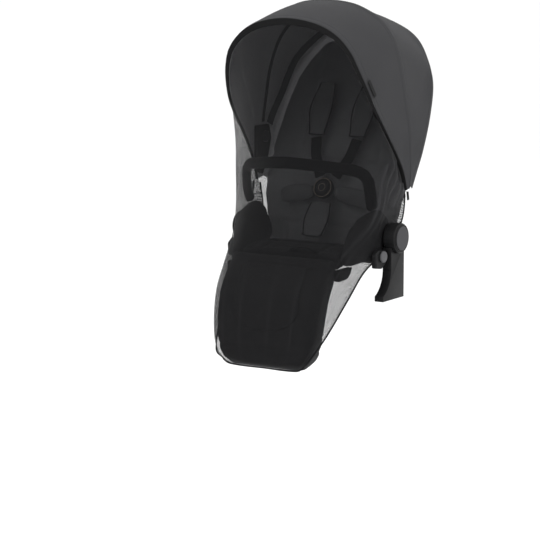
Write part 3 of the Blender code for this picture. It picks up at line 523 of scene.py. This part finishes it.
# The hood: two panels of dark grey woven cloth over three hidden hoops. The front panel runs
# from the rim to the middle hoop and the rear one on to the backrest; a felled seam joins them.
MIDDLE_HOOP = (
    (243, 201.2, 59), (280, 201.5, 65), (320, 200, 66), (380, 200, 62), (440, 194, 55), (500, 188, 50),
    (560, 174, 49), (598, 156, 46), (630, 125, 40), (654, 80, 33), (663, 40, 29), (665, 0, 27),
)
REAR_BAND = (
    (245, 199.5, 67), (308, 201, 85), (370, 200, 102), (438, 191, 137), (521, 169, 174),
    (569, 132, 196), (606, 78, 212), (628, 0, 224),
)
REAR_HOOP = (
    (248, 197.5, 75), (285, 199, 95), (336, 200, 124), (410, 195, 164), (480, 182, 200),
    (529, 155, 225), (570, 118, 247), (598, 65, 266), (615, 0, 275),
)
HOOD_THICKNESS = 0.0020
HOOD_CENTRE = (0.0, 0.022, 0.318)
FRONT_ROWS, REAR_ROWS = 44, 60
FRONT_CROWN = 0.005
HOOD_WRAP, HOOD_TURN_IN = (0.0, 0.013, -0.009), 0.004
TURN_STEPS = (0.35, 0.7, 1.0)
BINDING_GAP = 0.0004
HOOD_SAGS = (
    # across, drift, width, depth, start, end
    (0.30, 0.06, 0.10, -0.0016, 0.05, 0.95),
    (0.62, -0.04, 0.07, -0.0018, 0.00, 1.00),
    (0.86, -0.05, 0.045, -0.0014, 0.00, 0.90),
    (-0.22, -0.05, 0.11, -0.0015, 0.05, 0.95),
    (-0.58, 0.05, 0.08, -0.0018, 0.00, 1.00),
    (-0.84, 0.04, 0.05, -0.0014, 0.00, 0.90),
    (0.02, 0.03, 0.06, 0.0012, 0.10, 0.90),
    (0.46, -0.03, 0.05, 0.0012, 0.10, 0.95),
    (-0.42, 0.03, 0.05, 0.0012, 0.10, 0.95),
)


def outward_of(grid):
    normals = grid_normals(grid)
    facing = np.sign(np.sum(normals * (grid - np.array(HOOD_CENTRE)), axis=-1, keepdims=True))
    return normals * facing


def seam_rows(count, places, width=0.9, height=0.0008):
    """A raised row where a hoop's sleeve or a seam presses the cloth out."""
    rows = np.arange(count)
    return sum(height * np.exp(-(((rows - place) / width) ** 2)) for place in places)[:, None]


hood_across = np.linspace(-1, 1, ACROSS + 1)
start_row = rim - rim_forward * (BINDING_THICKNESS / 2 + BINDING_GAP) + rim_inward * HOOD_THICKNESS / 2
middle_row = arch(MIDDLE_HOOP, ACROSS + 1)
front_grid = curve_at([start_row, middle_row], np.linspace(0, 1, FRONT_ROWS + 1))
front_down = np.linspace(0, 1, FRONT_ROWS + 1)
crown = np.sin(front_down * np.pi)[:, None] * np.sin(np.linspace(0, np.pi, ACROSS + 1))[None] ** 3
relief = crown * FRONT_CROWN + fold_height(HOOD_SAGS, hood_across, front_down)
relief += seam_rows(FRONT_ROWS + 1, (1.5, FRONT_ROWS - 1.0))
front_grid = front_grid + outward_of(front_grid) * relief[..., None]
front_panel = lay_cloth("hood_front_cloth", front_grid, HOOD_THICKNESS)

rear_arches = np.array([arch(hoop, ACROSS + 1) for hoop in (MIDDLE_HOOP, REAR_BAND, REAR_HOOP)])
rear_grid = curve_at(rear_arches, np.linspace(0, 2, REAR_ROWS + 1))
rear_down = np.linspace(0, 1, REAR_ROWS + 1)
relief = fold_height(HOOD_SAGS, -hood_across, rear_down)
relief += seam_rows(REAR_ROWS + 1, (1.0, REAR_ROWS - 0.5))
rear_grid = rear_grid + outward_of(rear_grid) * relief[..., None]
turn_in = unit(np.array(HOOD_CENTRE) - rear_arches[-1]) * HOOD_TURN_IN
wrap_row = rear_arches[-1] + np.array(HOOD_WRAP) + turn_in
turned = [rear_grid[-1] + (wrap_row - rear_grid[-1]) * step for step in TURN_STEPS]
rear_panel = lay_cloth("hood_rear_cloth", np.vstack([rear_grid, turned]), HOOD_THICKNESS)

# The lining is paler than the cloth outside
hood_dye = cloth_dye("hood_canvas", (0.030, 0.030, 0.032), 0.92, 0.0011, 0.00022, 0.16)
lining_dye = cloth_dye("hood_lining", (0.230, 0.230, 0.238), 0.92, 0.0012, 0.0002, 0.12)
for panel, node, flat, area in (
    (front_panel, "hood_front_panel", (1.16, 0.20), 0.175),
    (rear_panel, "hood_rear_panel", (1.16, 0.28), 0.200),
):
    panel.data.materials.append(hood_dye)
    panel.data.materials.append(lining_dye)
    for face in panel.data.polygons:
        inside = face.normal.dot(mathutils.Vector(HOOD_CENTRE) - face.center) > 0
        face.material_index = 1 if inside else 0
    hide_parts(node)
    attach(panel, "root")


# Stitching on the hood: grey thread in short stitches, in a row behind the binding, on both
# sides of the felled seam, and along the rear edge where the hood turns in to the backrest.
STITCH_PITCH, STITCH_LENGTH, STITCH_WIDTH, STITCH_HEIGHT = 0.0048, 0.0034, 0.0009, 0.0007
# Height and share of its size of a stitch's foot and of its top
STITCH_LEVELS = ((-0.0002, 1.0), (STITCH_HEIGHT, 0.6))
STITCH_ROWS = (
    (front_grid, 4), (front_grid, FRONT_ROWS - 3), (rear_grid, 3), (rear_grid, REAR_ROWS - 3),
)


def stitched(name, rows):
    """One mesh of short raised stitches along rows of a grid, each an eight-cornered bar."""
    corners, faces = [], []
    for grid, row in rows:
        outer = grid + outward_of(grid) * (HOOD_THICKNESS / 2)
        line, lift = outer[row], outward_of(grid)[row]
        run = run_along(line)
        along = unit(np.gradient(line, axis=0))
        beside = np.cross(along, lift)
        for start in np.arange(STITCH_PITCH, run[-1] - STITCH_PITCH, STITCH_PITCH):
            spot, way, side, up = (
                np.array([np.interp(start, run, values[:, k]) for k in range(3)])
                for values in (line, along, beside, lift)
            )
            first = len(corners)
            for height, shrink in STITCH_LEVELS:
                for a, b in ((-1, -1), (1, -1), (1, 1), (-1, 1)):
                    reach = way * a * STITCH_LENGTH + side * b * STITCH_WIDTH
                    corners.append(spot + reach / 2 * shrink + up * height)
            faces.append([first + k for k in range(4)])
            faces.append([first + 4 + k for k in range(4)])
            for k in range(4):
                n = (k + 1) % 4
                faces.append([first + k, first + n, first + 4 + n, first + 4 + k])
    mesh = bpy.data.meshes.new(name)
    mesh.from_pydata([tuple(corner) for corner in corners], [], faces)
    return place_mesh(name, mesh)


thread_dye = cloth_dye("sewing_thread", (0.045, 0.045, 0.048), 0.7, 0.0006, 0.0001, space="object")
hood_stitches = stitched("hood_stitching", STITCH_ROWS)
hood_stitches.data.materials.append(thread_dye)
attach(hood_stitches, "root")


# Tapes inside the hood: black webbing sewn over the middle hoop, and a broader band behind it.
TAPE_THICKNESS = 0.0018
TAPES = (
    # name, node, row of the rear panel, width
    ("hood_middle_tape", "middle_tape", 8, 0.010),
    ("hood_rear_tape", "rear_tape", REAR_ROWS // 2, 0.026),
)
TAPE_TRIM = 20
TAPE_GAP, FRONT_TAPE_GAP = 0.0004, 0.0003
inner = rear_grid - outward_of(rear_grid) * (HOOD_THICKNESS / 2 + TAPE_THICKNESS / 2 + TAPE_GAP)
inner_down = np.gradient(inner, axis=0)
webbing_dye = cloth_dye("black_webbing", (0.024, 0.024, 0.025), 0.85, 0.0022, 0.00035)
for name, node, row, width in TAPES:
    line, lie = inner[row, TAPE_TRIM:-TAPE_TRIM], inner_down[row, TAPE_TRIM:-TAPE_TRIM]
    tape = band(name, line, lie, width, TAPE_THICKNESS, sides=8, power=6)
    tape.data.materials.append(webbing_dye)
    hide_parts(node)
    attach(tape, "root")


# A tape inside the front panel covers its hidden hoop; its pale grey is a painted highlight along
# the hoop. Its top lies by the rim, and it runs back to the hinge at each side.
FRONT_TAPE_ROWS = (
    # place across the hood from its middle, and row of the front panel there
    (0.0, 0.30, 0.60, 1.0),
    (6.0, 10.0, 24.0, 40.0),
)
FRONT_TAPE_WIDTH, FRONT_TAPE_THINNER = 0.011, 0.7
front_depth = HOOD_THICKNESS / 2 + TAPE_THICKNESS / 2 + FRONT_TAPE_GAP
front_inner = front_grid - outward_of(front_grid) * front_depth
tape_rows = np.interp(np.abs(hood_across), *FRONT_TAPE_ROWS)
tape_path = np.stack([
    [np.interp(row, np.arange(FRONT_ROWS + 1), front_inner[:, column, axis]) for axis in range(3)]
    for column, row in enumerate(tape_rows)
])
tape_across = np.gradient(front_inner, axis=0)[tape_rows.astype(int), np.arange(ACROSS + 1)]
# The tape is drawn pale grey as a painted highlight, not in a webbing colour of its own
highlight_painted_webbing = cloth_dye("highlight_painted_webbing", (0.26, 0.26, 0.27), 0.85, 0.0022, 0.00035)
front_tape = band(
    "hood_front_tape", tape_path[TAPE_TRIM:-TAPE_TRIM], tape_across[TAPE_TRIM:-TAPE_TRIM],
    FRONT_TAPE_WIDTH, TAPE_THICKNESS * FRONT_TAPE_THINNER, sides=8, power=6,
)
front_tape.data.materials.append(highlight_painted_webbing)
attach(front_tape, "root")


# The padding: seat, leg rest, harness pads and bumper bar, all foam in dark woven cloth. Each
# starts from its plain solid, is remeshed and rounded, and is pressed in along its sewn channels.
CHANNEL_WIDTH, JOIN_REACH = 0.006, 0.00005


def select_only(piece):
    bpy.ops.object.select_all(action="DESELECT")
    bpy.context.view_layer.objects.active = piece
    piece.select_set(True)


def padded_copy(name, node, voxel, rounds, swell, channels, depth):
    """A padded piece on its plain solid; a channel is (axis, place) of a sewn line across it."""
    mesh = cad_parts[node].data.copy()
    mesh.materials.clear()
    mesh.name = name
    piece = bpy.data.objects.new(name, mesh)
    bpy.context.scene.collection.objects.link(piece)
    work = bmesh.new()
    work.from_mesh(mesh)
    bmesh.ops.remove_doubles(work, verts=work.verts, dist=JOIN_REACH)
    work.to_mesh(mesh)
    work.free()
    remesh = piece.modifiers.new("even_mesh", "REMESH")
    remesh.mode = "VOXEL"
    remesh.voxel_size = voxel
    soften = piece.modifiers.new("rounded", "SMOOTH")
    soften.factor = 0.5
    soften.iterations = rounds
    select_only(piece)
    for modifier in list(piece.modifiers):
        bpy.ops.object.modifier_apply(modifier=modifier.name)
    mesh = piece.data
    spots = np.empty(len(mesh.vertices) * 3, np.float32)
    mesh.vertices.foreach_get("co", spots)
    spots = spots.reshape(-1, 3).astype(float)
    facing = np.empty(len(mesh.vertices) * 3, np.float32)
    mesh.vertex_normals.foreach_get("vector", facing)
    facing = facing.reshape(-1, 3)
    push = np.full(len(spots), swell)
    for axis, place in channels:
        push -= depth * np.exp(-(((spots @ np.array(axis, float) - place) / CHANNEL_WIDTH) ** 2))
    spots += facing * push[:, None]
    mesh.vertices.foreach_set("co", spots.astype(np.float32).ravel())
    mesh.update()
    mesh.shade_smooth()
    return piece


seat_dye = cloth_dye("seat_cloth", (0.0200, 0.0200, 0.0210), 0.9, 0.0014, 0.0003, 0.3, "object")
back_dye = cloth_dye("backrest_cloth", (0.1500, 0.1500, 0.1560), 0.9, 0.0014, 0.0003, 0.25, "object")
pad_dye = cloth_dye("harness_cloth", (0.1000, 0.1000, 0.1040), 0.88, 0.0018, 0.0004, 0.3, "object")
bar_dye = cloth_dye("bar_cover_cloth", (0.0060, 0.0060, 0.0065), 0.85, 0.0016, 0.0003, 0.3, "object")
PADS = (
    # name, node, voxel, rounds, swell, channels, depth, dye, fill
    ("seat_back_pad", "backrest", 0.0040, 3, 0.0006,
     (((1, 0, 0), -0.105), ((1, 0, 0), 0.105), ((0, 0, 1), 0.300), ((0, 0, 1), 0.150)),
     0.0030, back_dye, 0.5),
    ("seat_base_pad", "seat_pad", 0.0040, 5, 0.0016,
     (((1, 0, 0), -0.075), ((1, 0, 0), 0.075), ((0, 1, 0), -0.060)), 0.0028, seat_dye, 0.6),
    ("seat_left_wall", "seat_side_left", 0.0036, 5, 0.0008,
     (((0, 0, 1), 0.170),), 0.0016, seat_dye, 0.6),
    ("seat_right_wall", "seat_side_right", 0.0036, 5, 0.0008,
     (((0, 0, 1), 0.170),), 0.0016, seat_dye, 0.6),
    ("leg_rest_pad", "leg_rest", 0.0040, 3, 0.0016,
     (((0, 0, 1), -0.098), ((0, 0, 1), 0.083)), 0.0022, seat_dye, 0.7),
    ("leg_rest_liner", "leg_liner", 0.0018, 2, 0.0001, (((0, 0, 1), 0.058),), 0.0006, seat_dye, 0.3),
    ("shoulder_left_pad", "shoulder_pad_left", 0.0022, 3, 0.0004,
     (((0, 0, 1), 0.362), ((0, 0, 1), 0.455)), 0.0010, pad_dye, 0.5),
    ("shoulder_right_pad", "shoulder_pad_right", 0.0022, 3, 0.0004,
     (((0, 0, 1), 0.362), ((0, 0, 1), 0.455)), 0.0010, pad_dye, 0.5),
    ("waist_left_pad", "waist_pad_left", 0.0022, 3, 0.0004, (((1, 0, 0), 0.040),), 0.0010, pad_dye, 0.5),
    ("waist_right_pad", "waist_pad_right", 0.0022, 3, 0.0004,
     (((1, 0, 0), -0.040),), 0.0010, pad_dye, 0.5),
    ("crotch_front_pad", "crotch_pad", 0.0022, 3, 0.0004,
     (((0, 0, 1), 0.142), ((0, 0, 1), 0.198)), 0.0010, pad_dye, 0.5),
    ("bumper_bar_cover", "bumper_bar", 0.0030, 3, 0.0003, (), 0.0, bar_dye, 0.9),
)
for name, node, voxel, rounds, swell, channels, depth, dye, fill in PADS:
    piece = padded_copy(name, node, voxel, rounds, swell, channels, depth)
    piece.data.materials.append(dye)
    # Only the backrest's front has the paler cloth
    if node == "backrest":
        piece.data.materials.append(seat_dye)
        for face in piece.data.polygons:
            face.material_index = 1 if face.normal.y > 0 else 0
    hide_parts(node)
    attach(piece, "root")


# Piping: a black cord sewn into the edge of each shoulder pad and of the crotch pad. It runs
# down one long edge, round the lower end and up the other.
PIPING = (
    # name, middle line in millimetres from top to foot, width at each point
    ("shoulder_left_piping", ((57, 141, 467), (57, 107, 408), (54, 82, 351)), (37, 57, 37)),
    ("shoulder_right_piping", ((-57, 141, 467), (-57, 107, 408), (-54, 82, 351)), (37, 57, 37)),
    ("crotch_piping", ((0, 12, 201), (0, -9, 165), (0, -28, 131)), (50, 62, 46)),
)
CORD_WIDTH, CORD_STEPS, CORD_LIE = 0.0026, 24, (1, 0.3, 0.2)
PAD_FRONT = (0, -0.0045, 0.0015)
for name, line, widths in PIPING:
    middle = evenly(np.array(line) / 1000, CORD_STEPS)
    reach = curve_at(np.array(widths) / 2000, np.linspace(0, 2, CORD_STEPS))[:, None] * np.array((1, 0, 0))
    edge = np.vstack([middle + reach, middle[::-1] - reach[::-1]]) + np.array(PAD_FRONT)
    path = evenly(edge, 4 * CORD_STEPS, 6)
    cord = band(name, path, CORD_LIE, CORD_WIDTH, CORD_WIDTH, sides=8, power=2)
    cord.data.materials.append(binding_dye)
    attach(cord, "root")


# Finishes for the solids that stay as they are: hubs, brackets, catches and buckle in grained
# plastic, and the straps, loops and blank tab in their cloth. The arms' paint is made here too.
MOULDED_SPECULAR, SHINE_SCALE, SHINE_SPREAD = 0.14, 22, 0.08
SPECK, GRAIN_STRENGTH = 0.12, 0.6


def moulded(name, colour, rough, grain=900, depth=0.00006, metal=0.0):
    """Moulded plastic or paint: a fine even grain, and slow patches in how it shines."""
    finish = bpy.data.materials.new(name)
    finish.use_nodes = True
    tree = finish.node_tree
    shader = tree.nodes["Principled BSDF"]
    shader.inputs["Metallic"].default_value = metal
    shader.inputs["Specular IOR Level"].default_value = MOULDED_SPECULAR
    place = tree.nodes.new("ShaderNodeTexCoord")
    fine, slow = tree.nodes.new("ShaderNodeTexNoise"), tree.nodes.new("ShaderNodeTexNoise")
    fine.inputs["Scale"].default_value, slow.inputs["Scale"].default_value = grain, SHINE_SCALE
    for texture in (fine, slow):
        tree.links.new(place.outputs["Object"], texture.inputs["Vector"])
    shine = tree.nodes.new("ShaderNodeMapRange")
    shine.inputs["To Min"].default_value = rough - SHINE_SPREAD
    shine.inputs["To Max"].default_value = rough + SHINE_SPREAD
    tree.links.new(slow.outputs[0], shine.inputs["Value"])
    tree.links.new(shine.outputs[0], shader.inputs["Roughness"])
    two_shades(tree, slow.outputs[0], *around(colour, SPECK))
    raised(tree, fine.outputs[0], depth, GRAIN_STRENGTH)
    return finish


black_plastic = moulded("black_moulding", (0.0060, 0.0060, 0.0065), 0.50)
grey_plastic = moulded("hub_face_moulding", (0.040, 0.040, 0.043), 0.45)
catch_plastic = moulded("catch_moulding", (0.080, 0.080, 0.084), 0.50)
arm_paint = moulded("arm_paint", (0.0065, 0.0065, 0.0070), 0.46, grain=1400, depth=0.00003)
button_plastic = moulded("button_moulding", (0.020, 0.020, 0.022), 0.38)
strap_dye = cloth_dye("harness_webbing", (0.0100, 0.0100, 0.0106), 0.8, 0.0020, 0.0004, space="object")
loop_dye = cloth_dye("edge_elastic", (0.0040, 0.0040, 0.0045), 0.8, 0.0012, 0.0003, space="object")
label_dye = cloth_dye("blank_tab_cloth", (0.0035, 0.0035, 0.0038), 0.75, 0.0008, 0.0002, space="object")
FINISHES = (
    (black_plastic, (
        "hub_left", "hub_right", "hood_hinge_left", "hood_hinge_right", "buckle",
        "leg_ear_left", "leg_ear_right", "catch_left", "catch_right",
    )),
    (grey_plastic, ("hub_cap_left", "hub_cap_right")),
    (button_plastic, ("buckle_button", "hinge_knob_left", "hinge_knob_right")),
    (strap_dye, ("shoulder_strap_left", "shoulder_strap_right", "seat_pull")),
    (loop_dye, ("edge_loop_left", "edge_loop_right")),
    (label_dye, ("label_tab",)),
)
for finish, nodes in FINISHES:
    for node in nodes:
        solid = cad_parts[node]
        for slot in solid.material_slots:
            slot.material = finish


# The arms: one cast post on each side in dark satin paint, hollowed at its top round the hub,
# with a toe that curves forward into the chassis's socket. Each starts as a block and is cut.
ARM_BLOCK = ((-0.066, 0.030), (0.0, 0.118))
ARM_MIDDLE_X, ARM_THICKNESS = 0.1955, 0.022
TOE_CURVE = (-0.0920, 0.0680, 0.062)
SADDLE = (0.0, 0.1375, 0.0346)
# Middle of the cut in front of the post, by depth and height
FRONT_CUT, CUTTER_SIZE = (-0.080, 0.118), 0.100
ARM_BEVEL, LEVER_BEVEL = 0.0035, 0.0028
LEVER_PLACE, LEVER_RADIUS, LEVER_DEPTH = (0.2010, -0.0550, 0.1010), 0.0130, 0.0070
SMOOTH_TO = math.radians(35)


def cut_away(piece, cutter):
    """Cuts one shape out of a piece and removes the cutter."""
    select_only(piece)
    cut = piece.modifiers.new("cut", "BOOLEAN")
    cut.operation, cut.solver, cut.object = "DIFFERENCE", "EXACT", cutter
    bpy.ops.object.modifier_apply(modifier=cut.name)
    bpy.data.objects.remove(cutter, do_unlink=True)


def finish_casting(piece, bevel, limit, paint):
    """Rounds the piece's sharp edges, paints it and attaches it to the root body."""
    select_only(piece)
    soften = piece.modifiers.new("soften", "BEVEL")
    soften.width, soften.segments, soften.limit_method = bevel, 3, "ANGLE"
    soften.angle_limit = math.radians(limit)
    bpy.ops.object.modifier_apply(modifier=soften.name)
    bpy.ops.object.shade_smooth_by_angle(angle=SMOOTH_TO)
    piece.data.materials.append(paint)
    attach(piece, "root")


for side, end in ((1, "left"), (-1, "right")):
    (front, back), (sole, head) = ARM_BLOCK
    bpy.ops.object.select_all(action="DESELECT")
    middle = (side * ARM_MIDDLE_X, (front + back) / 2, (sole + head) / 2)
    bpy.ops.mesh.primitive_cube_add(size=1, location=middle)
    arm = bpy.context.object
    arm.name = "cast_arm_" + end
    arm.data.name = arm.name
    arm.scale = (ARM_THICKNESS, back - front, head - sole)
    bpy.ops.object.transform_apply(location=True, rotation=True, scale=True)
    for depth, height, radius in (TOE_CURVE, SADDLE):
        bpy.ops.mesh.primitive_cylinder_add(
            vertices=96, radius=radius, depth=CUTTER_SIZE,
            location=(side * ARM_MIDDLE_X, depth, height), rotation=(0, math.pi / 2, 0),
        )
        cut_away(arm, bpy.context.object)
    bpy.ops.mesh.primitive_cube_add(size=1, location=(side * ARM_MIDDLE_X, *FRONT_CUT))
    block = bpy.context.object
    block.scale = (CUTTER_SIZE, CUTTER_SIZE, CUTTER_SIZE)
    cut_away(arm, block)
    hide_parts("arm_" + end)
    finish_casting(arm, ARM_BEVEL, 40, arm_paint)
    # The catch's round grey lever stands on its dark bracket
    bpy.ops.object.select_all(action="DESELECT")
    bpy.ops.mesh.primitive_cylinder_add(
        vertices=48, radius=LEVER_RADIUS, depth=LEVER_DEPTH,
        location=(side * LEVER_PLACE[0], *LEVER_PLACE[1:]), rotation=(0, math.pi / 2, 0),
    )
    lever = bpy.context.object
    lever.name = "catch_lever_" + end
    lever.data.name = lever.name
    bpy.ops.object.transform_apply(location=True, rotation=True, scale=True)
    finish_casting(lever, LEVER_BEVEL, 30, catch_plastic)


# Trims: two thin satin rings lie in the buckle's face and a moulded bead runs round each hub's
# face. They are plain rings pressed into their parts.
BUCKLE_PLACE, BUCKLE_TILT = (0.0, 0.027, 0.232), math.atan2(0.92, 0.39)
TRIMS = (
    # name, place, turn about x and y, radius, half thickness, steps out along the axis
    ("buckle_outer_ring", BUCKLE_PLACE, (BUCKLE_TILT, 0), 0.0222, 0.0011, 0.0136),
    ("buckle_inner_ring", BUCKLE_PLACE, (BUCKLE_TILT, 0), 0.0086, 0.0008, 0.0172),
    ("hub_left_bead", (0.2160, 0.0, 0.1375), (0, math.pi / 2), 0.0305, 0.0013, 0.0004),
    ("hub_right_bead", (-0.2160, 0.0, 0.1375), (0, -math.pi / 2), 0.0305, 0.0013, 0.0004),
)
ring_metal = moulded("buckle_ring_satin", (0.20, 0.17, 0.14), 0.35, grain=1600, depth=0.00001, metal=0.5)
for name, place, (lean, swing), radius, half, out in TRIMS:
    axis = (math.sin(swing), -math.sin(lean), math.cos(lean) * math.cos(swing))
    bpy.ops.object.select_all(action="DESELECT")
    bpy.ops.mesh.primitive_torus_add(
        major_radius=radius, minor_radius=half, major_segments=72, minor_segments=10,
        location=[spot + step * out for spot, step in zip(place, axis)], rotation=(lean, swing, 0),
    )
    ring = bpy.context.object
    ring.name = name
    ring.data.name = name
    bpy.ops.object.transform_apply(location=True, rotation=True, scale=True)
    ring.data.shade_smooth()
    ring.data.materials.append(ring_metal if name.startswith("buckle") else black_plastic)
    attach(ring, "root")
